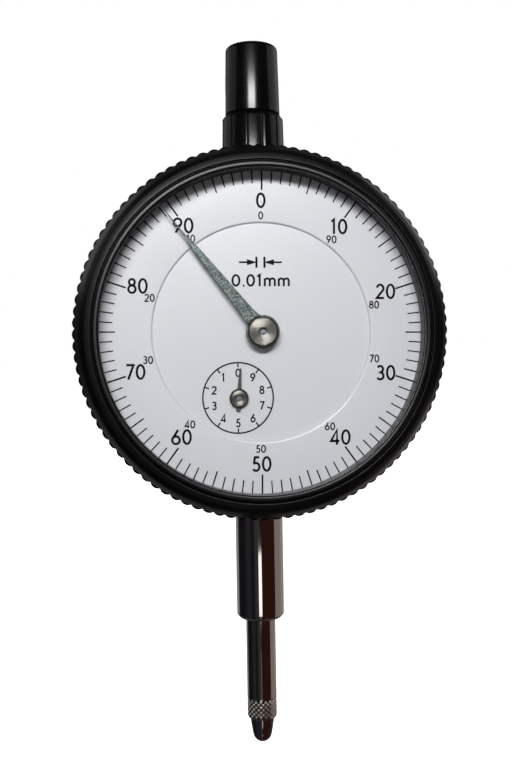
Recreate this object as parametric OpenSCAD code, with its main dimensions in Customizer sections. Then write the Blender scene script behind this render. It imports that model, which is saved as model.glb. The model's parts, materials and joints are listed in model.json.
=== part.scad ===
// Dial indicator with a 10 mm spindle stroke and 0.01 mm dial divisions, in mm.
// The spindle runs along Z and the dial faces -Y. The origin is halfway along the clamping stem.

/* [Size] */
// Height of the dial's centre above the middle of the clamping stem
dial_z = 37.85; // [35:0.05:45]
// Radius of the clamping stem
stem_r = 4; // [3:0.5:5]
// Distance from the dial's centre down to the end of the stem
stem_end = 47.9; // [40:0.1:60]
// Radius of the stem's seat inside the case
stem_seat_r = 4.4; // [4.1:0.1:5]
// Radius of the spindle below the case
spindle_r = 2.5; // [2:0.1:3]
// Radius of the spindle's thinner upper end
upper_r = 2; // [1.5:0.1:2.4]
// Spindle stroke, with its small overrun past the last division
stroke = 10.4; // [10:0.1:11]
// Distance from the dial's centre down to the contact point's knurl
knurl_top = 61.5; // [60:0.1:70]

/* [Case] */
// Outside radius of the case
case_r = 26.5; // [24:0.1:28]
// Inside radius of the case
case_bore = 23.9; // [20:0.1:26]
// Distance from the spindle's axis back to the cover's outer face
back_depth = 7.5; // [6:0.1:10]
// Thickness of the back cover
cover_t = 1.5; // [1:0.1:3]
// Thickness of the back cover's gasket
gasket_t = 0.3; // [0.2:0.1:0.6]
// Distance from the spindle's axis forward to the case's front rim
case_front = 10.8; // [8:0.1:12]
// Radius of the bosses round the stem and the collar
boss_r = 5.2; // [4.5:0.1:6]
// How far the bosses reach from the dial's centre
boss_reach = 28.4; // [27:0.1:30]
// Distance of each cover screw from the dial's axis
cover_screw_r = 22.5; // [20:0.1:24]

/* [Bezel] */
// Radius over the serrations
bezel_r = 29.5; // [28:0.1:32]
// Depth of the serrations
serration_depth = 0.35; // [0.2:0.05:0.8]
// Number of serrations
serrations = 100; // [60:1:140]
// Radius of the opening over the dial
opening_r = 25.4; // [22:0.1:26]
// Radius of the lip's edge in front of the crystal
lip_r = 25.1; // [24.5:0.1:25.4]
// Radius of the bezel's bore
bezel_bore = 26.56; // [26:0.01:27]
// Distance from the spindle's axis to the bezel's rear face
bezel_rear = 5.8; // [5:0.1:7]
// Distance from the spindle's axis to the bezel's front rim
bezel_front = 17.3; // [16:0.1:19]
// Thickness of the crystal
crystal_t = 1.2; // [0.8:0.1:2]

/* [Dial] */
// Radius of the fixed inner dial that can be seen
inner_r = 17.1; // [15:0.1:20]
// Distance from the spindle's axis to the turning dial ring's face
ring_face = 12.5; // [12:0.1:13]
// Length of the main pointer from the dial's centre
pointer_len = 24.4; // [20:0.1:25]
// Angle of the main pointer at rest, anticlockwise from the top
pointer_angle = 37; // [0:1:359]
// Radius of the main pointer's boss
boss_disc_r = 2.65; // [2.4:0.05:3]
// Distance from the spindle's axis to the rear face of the main pointer's boss
pointer_rear = 13.9; // [13.4:0.1:14]
// Length of the small pointer
small_len = 4.7; // [3:0.1:6]
// Angle of the small pointer at rest, clockwise from the top
small_angle = 4; // [0:1:359]

/* [Movement] */
// Spacing of the rack teeth
rack_pitch = 0.625; // [0.5:0.005:0.8]
// Teeth on the pinion that the rack turns
first_teeth = 16; // [12:1:20]
// Teeth on each large gear
gear_teeth = 100; // [80:1:120]
// Teeth on the centre pinion
centre_teeth = 10; // [8:1:12]
// Module of the gears that turn the main pointer
gear_module = 0.2; // [0.15:0.01:0.3]
// Sideways distance from the dial's centre to the first and take-up arbors
arbor_x = 3.8; // [3:0.1:5]
// Up and down distance from the dial's centre to those arbors
arbor_y = 10.32; // [9:0.01:11]
// Gap that each tooth leaves to the tooth it meets
backlash = 0.03; // [0.01:0.01:0.06]

/* [Cap] */
// Distance from the dial's centre up to the cap's top
cap_top = 48.9; // [45:0.1:55]
// Distance from the dial's centre up to the foot of the cap
cap_foot = 37.1; // [35:0.1:40]
// Radius of the cap's foot
cap_r = 4.65; // [4:0.05:6]
// Radius of the cap near its top
cap_top_r = 4.4; // [4:0.05:6]
// Rounding of the cap's top edge
cap_round = 0.7; // [0.2:0.1:2]
// Number of flutes round the collar
flutes = 12; // [8:1:24]

/* [Hidden] */
$fn = 96;
fine = 48;
eps = 0.01;
run = 0.04;
back_f = -back_depth;
case_rear = back_f + cover_t + gasket_t;
crystal_rear = 15;
crystal_front = crystal_rear + crystal_t;
pitch_x = -(arbor_x - rack_pitch * first_teeth / (2 * PI));
rack_module = rack_pitch / PI;
screw_angles = [45, 135, 225, 315];
pillars = [[-16, 5], [16, -5], [-10, 15.5], [10, -15.5]];
bridge_pillars = [[-10, -4], [-10, -16.5]];
plate_screw_angles = [0, 120, 240];
rear_plate = [-4.2, -3.2];
mid_plate = [3.2, 4.2];
front_plate_f = [8.2, 9.2];
gear_f = [5, 5.6];
inner_face = 12.2;
ring_t = 0.25;
lip_chamfer = 0.25;
blade = [[1.28, 2.3], [0.98, 5], [0.82, 10], [0.5, 17.2], [0.24, 18.9], [0.06, pointer_len]];
hub_rear = pointer_rear + 0.3;
hub_front = hub_rear + 0.65;
guide_y = -4;
pin_r = 0.8;
rail_x = [3.4, 5.4];
spring_x = 6.6;
post_y = -20.5;
spring_turns = 11;
shoulder = case_bore - 1 - stroke;
cap_roof = cap_top - 1.2;
ball_r = 1.6;
ball_z = -knurl_top - 6.1;

// Dial coordinates: X to the right, Y up, Z towards the viewer, zero at the dial's centre.
module on_dial() translate([0, 0, dial_z]) rotate([90, 0, 0]) children();

// Spindle coordinates: Z up from the dial's centre.
module on_spindle() translate([0, 0, dial_z]) children();

module disc(r, span) translate([0, 0, span[0]]) cylinder(r = r, h = span[1] - span[0]);

module ring(r_out, r_in, span) difference() {
    disc(r_out, span);
    disc(r_in, [span[0] - 1, span[1] + 1]);
}

module rod(r, span) translate([0, 0, span[0]]) cylinder(r = r, h = span[1] - span[0], $fn = fine);

module tube(r_out, r_in, span) difference() {
    rod(r_out, span);
    rod(r_in, [span[0] - 1, span[1] + 1]);
}

module at_each(points) for (p = points) translate([p[0], p[1], 0]) children();

module round_at(angles, r) for (a = angles) rotate([0, 0, a]) translate([r, 0, 0]) children();

// A slotted cheese-head screw along Z with the top of its head at head_top.
module screw(shank_r, head_r, head_h, foot, head_top) difference() {
    union() {
        rod(shank_r, [foot, head_top - head_h + eps]);
        rod(head_r, [head_top - head_h, head_top]);
    }
    translate([-head_r - 1, -head_r / 8, head_top - head_h / 2])
        cube([2 * head_r + 2, head_r / 4, head_h]);
}

// Outline of a spur gear whose first tooth or first gap, half a pitch on, points along X.
module gear_outline(teeth, mod, first_gap = 0) {
    pitch_r = teeth * mod / 2;
    step = 360 / teeth;
    tip_half = (0.25 * step) * 0.5;
    root_half = (0.25 * step) * 1.45 - backlash / pitch_r * 57.3 / 2;
    polygon([for (i = [0 : teeth - 1]) let (a = (i + first_gap / 2) * step)
        for (q = [[-root_half, -1.2], [-tip_half, 0.85], [tip_half, 0.85], [root_half, -1.2]])
            let (r = pitch_r + q[1] * mod) [r * cos(a + q[0]), r * sin(a + q[0])]]);
}

module gear_wheel(teeth, span, bore_r, hub_r) translate([0, 0, span[0]])
    linear_extrude(span[1] - span[0]) difference() {
        gear_outline(teeth, gear_module);
        circle(bore_r, $fn = fine);
        for (a = [45 : 90 : 315]) rotate(a) translate([teeth * gear_module * 0.29, 0])
            circle(hub_r, $fn = fine);
    }

// A coil of round wire along Z, drawn as rings on a thin spine.
module coil(r, wire_r, pitch, turns) {
    for (i = [0 : turns]) translate([0, 0, i * pitch])
        rotate_extrude($fn = fine) translate([r, 0]) circle(wire_r, $fn = 16);
    translate([r, 0, 0]) rod(wire_r * 0.7, [0, turns * pitch]);
}

// The case: a turned cup with bosses for the stem, the collar and the screws.
module case() color("#17181a") difference() {
    union() {
        on_dial() case_shell();
        on_spindle() {
            rod(boss_r, [-boss_reach, -case_bore - 0.6]);
            rod(boss_r, [case_bore + 0.6, boss_reach]);
        }
    }
    on_spindle() {
        rod(stem_seat_r, [-boss_reach - 1, -15]);
        rod(3.2, [15, boss_reach + 1]);
    }
    on_dial() {
        round_at(screw_angles, cover_screw_r) rod(0.8, [case_rear - 1, case_rear + 5]);
        round_at(plate_screw_angles, 22.7) rod(0.6, [6.9, front_plate_f[0] + 1]);
        ring(case_r + 1, case_r - 0.95, [6.6, 7.5]);
        ring(case_r + 1, case_r - 0.9, [8.7, 9.7]);
    }
}

module case_shell() {
    difference() {
        union() {
            disc(case_r - 0.4, [case_rear, case_rear + 0.5]);
            disc(case_r, [case_rear + 0.4, case_front]);
        }
        disc(case_bore, [case_rear - 1, case_front + 1]);
    }
    ring(case_bore + 0.5, 21.7, [6.6, front_plate_f[0]]);
    intersection() {
        disc(case_bore + 0.5, [case_rear, 1]);
        round_at(screw_angles, cover_screw_r) rod(1.9, [case_rear, 1]);
    }
}

module back_cover() color("#1b1c1e") on_dial() difference() {
    union() {
        disc(case_r - 0.6, [back_f, back_f + 0.7]);
        disc(case_r, [back_f + 0.6, back_f + cover_t]);
    }
    round_at(screw_angles, cover_screw_r) {
        rod(0.85, [back_f - 1, case_rear]);
        rod(1.7, [back_f - 1, back_f + 0.9]);
    }
}

module back_gasket() color("#2c2c2e") on_dial() difference() {
    ring(case_r - 0.8, case_bore - 2.6, [back_f + cover_t, case_rear]);
    round_at(screw_angles, cover_screw_r) rod(0.9, [back_f, case_rear + 1]);
}

module back_cover_screws() color("#b9bcc0") on_dial() round_at(screw_angles, cover_screw_r)
    rotate([0, 180, 0]) screw(0.75, 1.5, 0.75, -case_rear - 4, -back_f - 0.1);

module stem() color("#c4c6ca") on_spindle() difference() {
    union() {
        rod(stem_r - 0.3, [-stem_end, -stem_end + 0.5]);
        translate([0, 0, -stem_end + 0.25]) cylinder(r1 = stem_r - 0.3, r2 = stem_r, h = 0.35);
        rod(stem_r, [-stem_end + 0.6, -boss_reach + eps]);
        rod(stem_seat_r, [-boss_reach, -23.2]);
    }
    rod(3.1, [-stem_end - 1, -22]);
}

module stem_bushes() color("#b08a4e") on_spindle() {
    tube(3.1, spindle_r + run, [-stem_end + 0.3, -stem_end + 9]);
    tube(3.1, spindle_r + run, [-31.5, -23.2]);
}

module top_bush() color("#b08a4e") on_spindle()
    tube(3.2, upper_r + run, [case_bore - 0.6, cap_foot + 3.2]);

module cap_collar() color("#1a1b1d") on_spindle() difference() {
    union() {
        linear_extrude_between(boss_reach, cap_foot - 0.65) flute_outline();
        translate([0, 0, cap_foot - 0.65]) cylinder(r1 = 5.15, r2 = 4.85, h = 0.6);
    }
    rod(3.2, [boss_reach - 1, cap_foot + 1]);
}

module linear_extrude_between(low, high) translate([0, 0, low]) linear_extrude(high - low)
    children();

module flute_outline() difference() {
    circle(5.32, $fn = 96);
    for (i = [0 : flutes - 1]) rotate((i + 0.5) * 360 / flutes) translate([5.52, 0])
        circle(0.42, $fn = 24);
}

// The soft ring that gives the bezel its drag.
module case_seal() color("#202022") on_dial() translate([0, 0, 9.2])
    rotate_extrude() translate([case_r - 0.48, 0]) circle(0.42, $fn = 20);

module front_plate() color("#b9a06a") on_dial() difference() {
    disc(case_bore - 0.1, front_plate_f);
    round_at(plate_screw_angles, 22.7) rod(0.65, [8, 10]);
    at_each(pillars) rod(0.7, [8, 10]);
    at_each([[0, 0], [-arbor_x, -arbor_y], [arbor_x, arbor_y]]) rod(1.2, [8, 10]);
}

module middle_plate() color("#b9a06a") on_dial() difference() {
    disc(20.5, mid_plate);
    at_each([[0, 0], [arbor_x, arbor_y]]) rod(1.2, [3, 5]);
    translate([-arbor_x, -arbor_y, 0]) rod(2, [3, 5]);
    at_each([[4.4, -5.45], [4.4, 7.75]]) rod(0.4, [3, 5]);
    round_at([20, 200], 14) rod(3, [3, 5]);
}

module rear_bridge() color("#b9a06a") on_dial() difference() {
    translate([0, 0, rear_plate[0]]) linear_extrude(rear_plate[1] - rear_plate[0]) {
        translate([-12.2, -18.7]) square([4.4, 16.9]);
        translate([-12.2, -12.6]) square([8.4, 4.6]);
        translate([-arbor_x, -arbor_y]) circle(2.28, $fn = fine);
    }
    translate([-arbor_x, -arbor_y, 0]) rod(1.2, [-5, -3]);
    at_each(bridge_pillars) rod(0.7, [-5, -3]);
}

module plate_pillars() color("#b39a62") on_dial() at_each(pillars)
    tube(1.4, 0.6, [mid_plate[1], front_plate_f[0]]);

module bridge_pillars() color("#b39a62") on_dial() at_each(bridge_pillars)
    tube(1.5, 0.6, [rear_plate[1], mid_plate[0]]);

module plate_screws() color("#c0c3c7") on_dial() at_each(pillars)
    screw(0.6, 1.2, 0.6, 4.8, front_plate_f[1] + 0.6);

module bridge_screws() color("#c0c3c7") on_dial() at_each(bridge_pillars)
    rotate([0, 180, 0]) screw(0.6, 1.2, 0.6, 0.4, 4.8);

module movement_screws() color("#c0c3c7") on_dial() round_at(plate_screw_angles, 22.7)
    screw(0.6, 1.05, 0.6, 6.9, front_plate_f[1] + 0.6);

module jewel_bushes() color("#a3213a") on_dial() {
    translate([-arbor_x, -arbor_y, 0]) tube(1.2, 0.3 + run, rear_plate);
    at_each([[0, 0], [arbor_x, arbor_y]]) tube(1.2, 0.3 + run, mid_plate);
    at_each([[0, 0], [-arbor_x, -arbor_y]]) tube(1.2, 0.5 + run, front_plate_f);
    translate([arbor_x, arbor_y, 0]) tube(1.2, 0.3 + run, front_plate_f);
}

// The slot that the guide pin runs in keeps the spindle from turning and stops it at both ends.
module guide_rail() color("#9a9da2") on_dial() difference() {
    translate([rail_x[0], guide_y - 2.2, -1.8])
        cube([rail_x[1] - rail_x[0], stroke + 4.4, 1.8 + mid_plate[0]]);
    translate([rail_x[0] - 1, guide_y - pin_r - 0.05, -pin_r - 0.06])
        cube([rail_x[1], stroke + 2 * pin_r + 0.1, 2 * pin_r + 0.12]);
    at_each([[4.4, -5.45], [4.4, 7.75]]) rod(0.4, [1.2, 4]);
}

module rail_screws() color("#c0c3c7") on_dial() at_each([[4.4, -5.45], [4.4, 7.75]])
    screw(0.4, 0.7, 0.4, 1.2, mid_plate[1] + 0.4);

module spring_post() color("#c0c3c7") on_dial() {
    translate([spring_x, post_y, 0]) rod(0.5, [-0.9, mid_plate[0]]);
    translate([spring_x, post_y, 0]) rod(0.8, [-1.2, -0.8]);
}

module measuring_spring() color("#8b8f95") on_spindle() translate([spring_x, 0, 0]) {
    foot = post_y + 2.3;
    head = guide_y - 2.3;
    translate([0, 0, foot]) coil(1.2, 0.14, (head - foot) / spring_turns, spring_turns);
    translate([0, 0, post_y]) spring_eye([90, 0, 0]);
    translate([0, 0, guide_y]) spring_eye([0, 90, 0]);
    for (span = [[post_y + 0.95, foot + 0.05], [head - 0.05, guide_y - 0.95]]) rod(0.09, span);
    for (z = [foot, head]) translate([0, 0, z]) rotate([0, 90, 0]) rod(0.12, [-0.2, 1.2]);
}

module spring_eye(turn) rotate(turn) rotate_extrude($fn = fine) translate([1, 0])
    circle(0.14, $fn = 14);

// The hairspring: half rings of growing radius that keep the train's slack to one side.
module hairspring() color("#5b6f8f") on_dial() translate([arbor_x, arbor_y, 6.7])
    for (i = [0 : 9]) translate([i % 2 == 0 ? 0 : -0.275, 0, 0]) rotate([0, 0, i % 2 == 0 ? 0 : 180])
        rotate_extrude(angle = 180) translate([1.3 + i * 0.275, 0]) square([0.1, 0.5]);

module hairspring_stud() color("#b39a62") on_dial() translate([arbor_x + 4.125, arbor_y, 0])
    rod(0.45, [6.5, front_plate_f[0]]);

module inner_dial() color("#d8d8dc") on_dial() difference() {
    disc(19, [inner_face - 0.5, inner_face]);
    rod(1.4, [11, 13]);
    translate([-arbor_x, -arbor_y, 0]) rod(1, [11, 13]);
}

module dial_feet() color("#b39a62") on_dial() round_at([90, 210, 330], 14)
    rod(0.9, [front_plate_f[1], inner_face - 0.5]);

module spindle() color("#c4c6ca") on_spindle() difference() {
    union() {
        rod(spindle_r, [-knurl_top, shoulder]);
        rod(upper_r, [shoulder - 0.1, cap_roof - 0.4 - stroke]);
    }
    rack_cut();
    translate([0, 0, guide_y]) rotate([0, 90, 0]) rod(pin_r, [0.5, 4]);
    rod(0.9, [-knurl_top - 1, -knurl_top + 4]);
}

// The rack: a flat at the tooth tips and slots down to the roots, in step with the pinion.
module rack_cut() {
    depth = rack_module;
    top = -8.4;
    low = -22.6;
    translate([pitch_x - depth - 1, -4, low]) cube([1, 8, top - low]);
    for (k = [ceil((-arbor_y - top) / rack_pitch) : floor((-arbor_y - low) / rack_pitch)])
        translate([0, 4, -arbor_y - k * rack_pitch]) rotate([90, 0, 0]) linear_extrude(8)
            polygon([for (q = [[-1.1, -0.42], [1.25, -0.15], [1.25, 0.15], [-1.1, 0.42]])
                [pitch_x + q[0] * depth, q[1] * rack_pitch]]);
}

module guide_pin() color("#b9bcc0") on_spindle() translate([0, 0, guide_y])
    rotate([0, 90, 0]) rod(pin_r, [0.5, spring_x + 0.4]);

module contact_point() color("#b9bbbf") on_spindle() {
    linear_extrude_between(-knurl_top - 3.4, -knurl_top - 0.1) polygon([for (i = [0 : 43])
        let (r = i % 2 == 0 ? 2.6 : 2.42, a = i * 360 / 44) [r * cos(a), r * sin(a)]]);
    rod(2.3, [-knurl_top - 0.1, -knurl_top]);
    rod(0.88, [-knurl_top, -knurl_top + 3.6]);
    translate([0, 0, ball_z]) cylinder(r1 = ball_r + 0.05, r2 = 2, h = -knurl_top - 3.3 - ball_z);
}

module contact_ball() color("#d5d7da") on_spindle() difference() {
    translate([0, 0, ball_z]) sphere(ball_r);
    rod(2, [ball_z, ball_z + 3]);
}

module first_arbor() color("#b8bbc0") on_dial() translate([-arbor_x, -arbor_y, 0]) {
    rod(0.3, [rear_plate[0] + 0.1, -3]);
    rod(0.55, [-3, -1.1]);
    translate([0, 0, -1.2]) linear_extrude(2.4) gear_outline(first_teeth, rack_module);
    rod(0.7, [1.1, gear_f[0] + 1.2]);
    rod(0.5, [gear_f[0] + 1.1, 12.75]);
    rod(0.24, [12.7, 13]);
}

module first_gear() color("#c2a25a") on_dial() translate([-arbor_x, -arbor_y, 0])
    rotate([0, 0, atan2(arbor_y, arbor_x)]) gear_wheel(gear_teeth, gear_f, 0.7, 2.2);

module small_pointer() color("#3f4742") on_dial() translate([-arbor_x, -arbor_y, 12.45])
    rotate([0, 0, -small_angle]) linear_extrude(0.2) difference() {
        union() {
            polygon([[-0.32, -2.05], [0.32, -2.05], [0.14, small_len], [-0.14, small_len]]);
            circle(1, $fn = fine);
        }
        circle(0.5, $fn = fine);
    }

module small_hub() color("#a9adb1") on_dial() translate([-arbor_x, -arbor_y, 0])
    difference() {
        union() {
            rod(1.5, [12.65, 12.9]);
            rod(1.2, [12.85, 13.1]);
        }
        rod(0.5, [12, 14]);
    }

module centre_arbor() color("#b8bbc0") on_dial() {
    rod(0.3, [mid_plate[0] + 0.1, 4.5]);
    translate([0, 0, 4.4]) linear_extrude(1.8)
        rotate(atan2(-arbor_y, -arbor_x)) gear_outline(centre_teeth, gear_module, 1);
    rod(0.7, [6.1, 7.9]);
    rod(0.5, [7.8, hub_rear + 0.1]);
    rod(0.26, [hub_rear, hub_front - 0.1]);
}

// A flat tapering blade on a round boss.
module main_pointer() color("#8d958f") on_dial() rotate([0, 0, pointer_angle]) difference() {
    union() {
        translate([0, 0, pointer_rear + 0.1]) linear_extrude(0.15)
            polygon(concat([for (p = blade) [-p[0], p[1]]],
                [for (i = [len(blade) - 1 : -1 : 0]) blade[i]]));
        rod(boss_disc_r, [pointer_rear, hub_rear]);
    }
    rod(0.5, [pointer_rear - 1, hub_rear + 1]);
}

module pointer_hub() color("#b5b8bb") on_dial() difference() {
    union() {
        rod(2.4, [hub_rear, hub_front - 0.2]);
        rod(2.2, [hub_front - 0.25, hub_front]);
    }
    rod(0.5, [hub_rear - 1, hub_front + 1]);
}

module take_up_arbor() color("#b8bbc0") on_dial() translate([arbor_x, arbor_y, 0]) {
    rod(0.3, [mid_plate[0] + 0.1, 4.5]);
    rod(0.7, [4.4, 7.9]);
    rod(0.3, [7.8, front_plate_f[1] - 0.1]);
}

module take_up_gear() color("#c2a25a") on_dial() translate([arbor_x, arbor_y, 0])
    rotate([0, 0, atan2(-arbor_y, -arbor_x)]) gear_wheel(gear_teeth, gear_f, 0.7, 2.2);

module hairspring_collet() color("#b39a62") on_dial() translate([arbor_x, arbor_y, 0])
    tube(1.15, 0.7, [6.5, 7.4]);

module bezel() color("#131416") on_dial() difference() {
    union() {
        disc(bezel_r - 1.1, [bezel_rear, bezel_rear + 0.6]);
        translate([0, 0, bezel_rear + 0.5]) linear_extrude(7) serration_outline();
        rotate_extrude() polygon([[20, bezel_rear + 7.4], [29.2, bezel_rear + 7.4],
            [29.2, 13.9], [27.95, 16.4], [27.3, 16.6], [27, 16.3], [26.7, bezel_front],
            [20, bezel_front]]);
    }
    disc(bezel_bore, [bezel_rear - 1, crystal_front + 0.2]);
    disc(lip_r, [bezel_rear - 1, bezel_front + 1]);
    ring(27.1, 20, [6.75, 7.35]);
    translate([0, 0, bezel_front - lip_chamfer])
        cylinder(r1 = lip_r, r2 = lip_r + 2 * lip_chamfer, h = 2 * lip_chamfer);
}

module serration_outline() polygon([for (i = [0 : 4 * serrations - 1])
    let (a = i * 90 / serrations, r = bezel_r - serration_depth * [0, 0.3, 1, 0.3][i % 4])
        [r * cos(a), r * sin(a)]]);

module snap_ring() color("#a6a9ad") on_dial() difference() {
    ring(27.1, 25.75, [6.75, 7.35]);
    translate([-1.5, -28, 6]) cube([3, 4, 2]);
}

module crystal() color("#e8f0f2", 0.35) on_dial() disc(26.4, [crystal_rear, crystal_front]);

module crystal_gasket() color("#202022") on_dial()
    ring(26.4, opening_r + 0.2, [crystal_front, crystal_front + 0.2]);

module spacer_ring() color("#101012") on_dial() ring(26.4, opening_r, [ring_face, crystal_rear]);

module dial_ring() color("#d8d8dc") on_dial() ring(26.4, inner_r, [ring_face - ring_t, ring_face]);

module dial_ring_clip() color("#a6a9ad") on_dial() difference() {
    ring(bezel_bore, 25, [ring_face - ring_t - 0.6, ring_face - ring_t]);
    translate([-1.5, -28, 11]) cube([3, 6, 2]);
}

module spindle_cap() color("#141517") on_spindle() difference() {
    union() {
        translate([0, 0, cap_foot])
            cylinder(r1 = cap_r, r2 = cap_top_r, h = cap_top - cap_foot - cap_round);
        translate([0, 0, cap_top - cap_round]) rotate_extrude() union() {
            intersection() {
                translate([cap_top_r - cap_round, 0]) circle(cap_round, $fn = fine);
                square([cap_top_r, cap_round]);
            }
            square([cap_top_r - cap_round, cap_round]);
        }
    }
    rod(3.26, [cap_foot - 1, cap_foot + 3.6]);
    rod(2.9, [cap_foot - 1, cap_roof]);
}

case();
back_cover();
back_gasket();
back_cover_screws();
stem();
stem_bushes();
top_bush();
cap_collar();
case_seal();
front_plate();
middle_plate();
rear_bridge();
plate_pillars();
bridge_pillars();
plate_screws();
bridge_screws();
movement_screws();
jewel_bushes();
guide_rail();
rail_screws();
spring_post();
measuring_spring();
hairspring();
hairspring_stud();
inner_dial();
dial_feet();
spindle();
guide_pin();
contact_point();
contact_ball();
first_arbor();
first_gear();
small_pointer();
small_hub();
centre_arbor();
main_pointer();
pointer_hub();
take_up_arbor();
take_up_gear();
hairspring_collet();
bezel();
snap_ring();
crystal();
crystal_gasket();
spacer_ring();
dial_ring();
dial_ring_clip();
spindle_cap();
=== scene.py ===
import json
import math

import bmesh
import bpy
from mathutils import Matrix, Vector


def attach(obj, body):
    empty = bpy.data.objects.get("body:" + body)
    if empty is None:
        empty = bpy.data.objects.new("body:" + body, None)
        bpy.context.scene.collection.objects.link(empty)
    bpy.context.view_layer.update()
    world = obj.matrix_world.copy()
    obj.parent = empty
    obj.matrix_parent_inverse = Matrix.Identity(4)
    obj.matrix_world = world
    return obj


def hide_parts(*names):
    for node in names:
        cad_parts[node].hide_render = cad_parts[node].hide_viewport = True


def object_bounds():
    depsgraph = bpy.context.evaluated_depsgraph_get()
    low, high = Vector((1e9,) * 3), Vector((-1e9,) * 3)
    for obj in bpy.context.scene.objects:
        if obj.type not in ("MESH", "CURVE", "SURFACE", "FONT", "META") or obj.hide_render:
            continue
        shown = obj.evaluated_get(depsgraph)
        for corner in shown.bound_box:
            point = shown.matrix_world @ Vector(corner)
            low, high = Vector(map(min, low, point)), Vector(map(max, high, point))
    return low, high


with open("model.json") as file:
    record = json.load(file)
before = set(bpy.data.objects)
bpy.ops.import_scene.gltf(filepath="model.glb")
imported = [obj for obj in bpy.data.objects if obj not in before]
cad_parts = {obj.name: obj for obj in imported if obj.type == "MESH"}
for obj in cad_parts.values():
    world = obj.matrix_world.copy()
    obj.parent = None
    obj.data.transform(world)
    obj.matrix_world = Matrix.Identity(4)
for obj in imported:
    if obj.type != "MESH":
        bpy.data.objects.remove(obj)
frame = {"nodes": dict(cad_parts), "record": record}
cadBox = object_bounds()
print("frame loaded")

mm = 0.001
place = {"dialHeight": 37.85, "arborX": 3.8, "arborY": 10.32}
# dial coordinates: x right, y up, z towards the reader; spindle coordinates: z up
height = place["dialHeight"] * mm
dialFrame = Matrix(((mm, 0, 0, 0), (0, 0, -mm, 0), (0, mm, 0, height), (0, 0, 0, 1)))
spindleFrame = Matrix(((mm, 0, 0, 0), (0, mm, 0, 0), (0, 0, mm, height), (0, 0, 0, 1)))


def colour(hexText):
    parts = [int(hexText[i : i + 2], 16) / 255 for i in (1, 3, 5)]
    linear = [c / 12.92 if c <= 0.04045 else ((c + 0.055) / 1.055) ** 2.4 for c in parts]
    return (*linear, 1.0)


# adds a node, sets its inputs or properties, and links its inputs
def addNode(tree, kind, settings=None, links=None):
    node = tree.nodes.new(kind)
    for key, value in (settings or {}).items():
        if isinstance(key, int) or key in node.inputs:
            node.inputs[key].default_value = value
        else:
            setattr(node, key, value)
    for key, source in (links or {}).items():
        tree.links.new(source, node.inputs[key])
    return node


def newMaterial(name, base, values):
    material = bpy.data.materials.new(name)
    material.use_nodes = True
    tree = material.node_tree
    shader = tree.nodes["Principled BSDF"]
    shader.inputs["Base Color"].default_value = colour(base)
    for key, value in values.items():
        shader.inputs[key].default_value = value
    material.diffuse_color = colour(base)
    return material, tree, shader


# bump from noise with so many grains to the millimetre
def addGrain(tree, shader, perMm, depth, stretch=(1, 1, 1)):
    where = addNode(tree, "ShaderNodeTexCoord")
    scaled = addNode(tree, "ShaderNodeMapping", {"Scale": stretch}, {"Vector": where.outputs["Object"]})
    noise = addNode(
        tree,
        "ShaderNodeTexNoise",
        {"Scale": perMm / mm, "Detail": 3.0},
        {"Vector": scaled.outputs[0]},
    )
    bump = addNode(
        tree,
        "ShaderNodeBump",
        {"Strength": 1.0, "Distance": depth * mm},
        {"Height": noise.outputs["Fac"]},
    )
    tree.links.new(bump.outputs[0], shader.inputs["Normal"])
    return noise


# noise between two colours
def addMottle(tree, shader, noise, dark, light, low=0.35, high=0.65):
    ramp = addNode(tree, "ShaderNodeValToRGB", None, {"Fac": noise.outputs["Fac"]})
    ramp.color_ramp.elements[0].position = low
    ramp.color_ramp.elements[0].color = colour(dark)
    ramp.color_ramp.elements[1].position = high
    ramp.color_ramp.elements[1].color = colour(light)
    tree.links.new(ramp.outputs[0], shader.inputs["Base Color"])


# black lacquer over turned aluminium: deep black with a cool sheen on the edges
bezelLook = {"base": "#050506", "roughness": 0.35, "specular": 0.32, "grainPerMm": 2.5, "grainDepth": 0.0015}
bezelBlack, tree, shader = newMaterial(
    "blackLacquerOnTurnedAluminium",
    bezelLook["base"],
    {"Roughness": bezelLook["roughness"], "Specular IOR Level": bezelLook["specular"]},
)
addGrain(tree, shader, bezelLook["grainPerMm"], bezelLook["grainDepth"])

# moulded ABS: smoother, so a strip of light shows with clear edges
capLook = {"base": "#070708", "roughness": 0.19, "specular": 0.32, "grainPerMm": 1.2, "grainDepth": 0.001}
capBlack, tree, shader = newMaterial(
    "mouldedBlackAbs",
    capLook["base"],
    {"Roughness": capLook["roughness"], "Specular IOR Level": capLook["specular"]},
)
addGrain(tree, shader, capLook["grainPerMm"], capLook["grainDepth"])

# stoved satin enamel on a cast case: fine orange peel that breaks the highlights
caseBlack, tree, shader = newMaterial("satinBlackEnamelOnCastAlloy", "#17181a", {"Roughness": 0.42})
addGrain(tree, shader, 3.5, 0.006)

# hardened steel ground and polished: mirrors its surroundings, streaked along its length
stemSteel, tree, shader = newMaterial(
    "polishedHardenedSteel", "#c6bfba", {"Metallic": 1.0, "Roughness": 0.06}
)
addGrain(tree, shader, 1.6, 0.0007, (1, 1, 0.05))

# the same steel as the knurling roller leaves it: brighter and duller, a glint on each tooth
knurlSteel, tree, shader = newMaterial(
    "knurledSteel", "#e2ddd6", {"Metallic": 1.0, "Roughness": 0.28}
)

# screws and arbors: plain turned steel with a satin face
screwSteel, tree, shader = newMaterial("satinTurnedSteel", "#7b7e83", {"Metallic": 1.0, "Roughness": 0.34})

# springs and brass inside the case, seen only past the edge of a gap
springSteel, tree, shader = newMaterial("blueTemperedSteel", "#6f7883", {"Metallic": 1.0, "Roughness": 0.3})
bushBrass, tree, shader = newMaterial("turnedBrass", "#c9a25a", {"Metallic": 1.0, "Roughness": 0.28})
plateBrass, tree, shader = newMaterial("brushedBrassPlate", "#c6ab6c", {"Metallic": 1.0, "Roughness": 0.4})
addGrain(tree, shader, 2.0, 0.004, (1, 1, 0.08))

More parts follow.
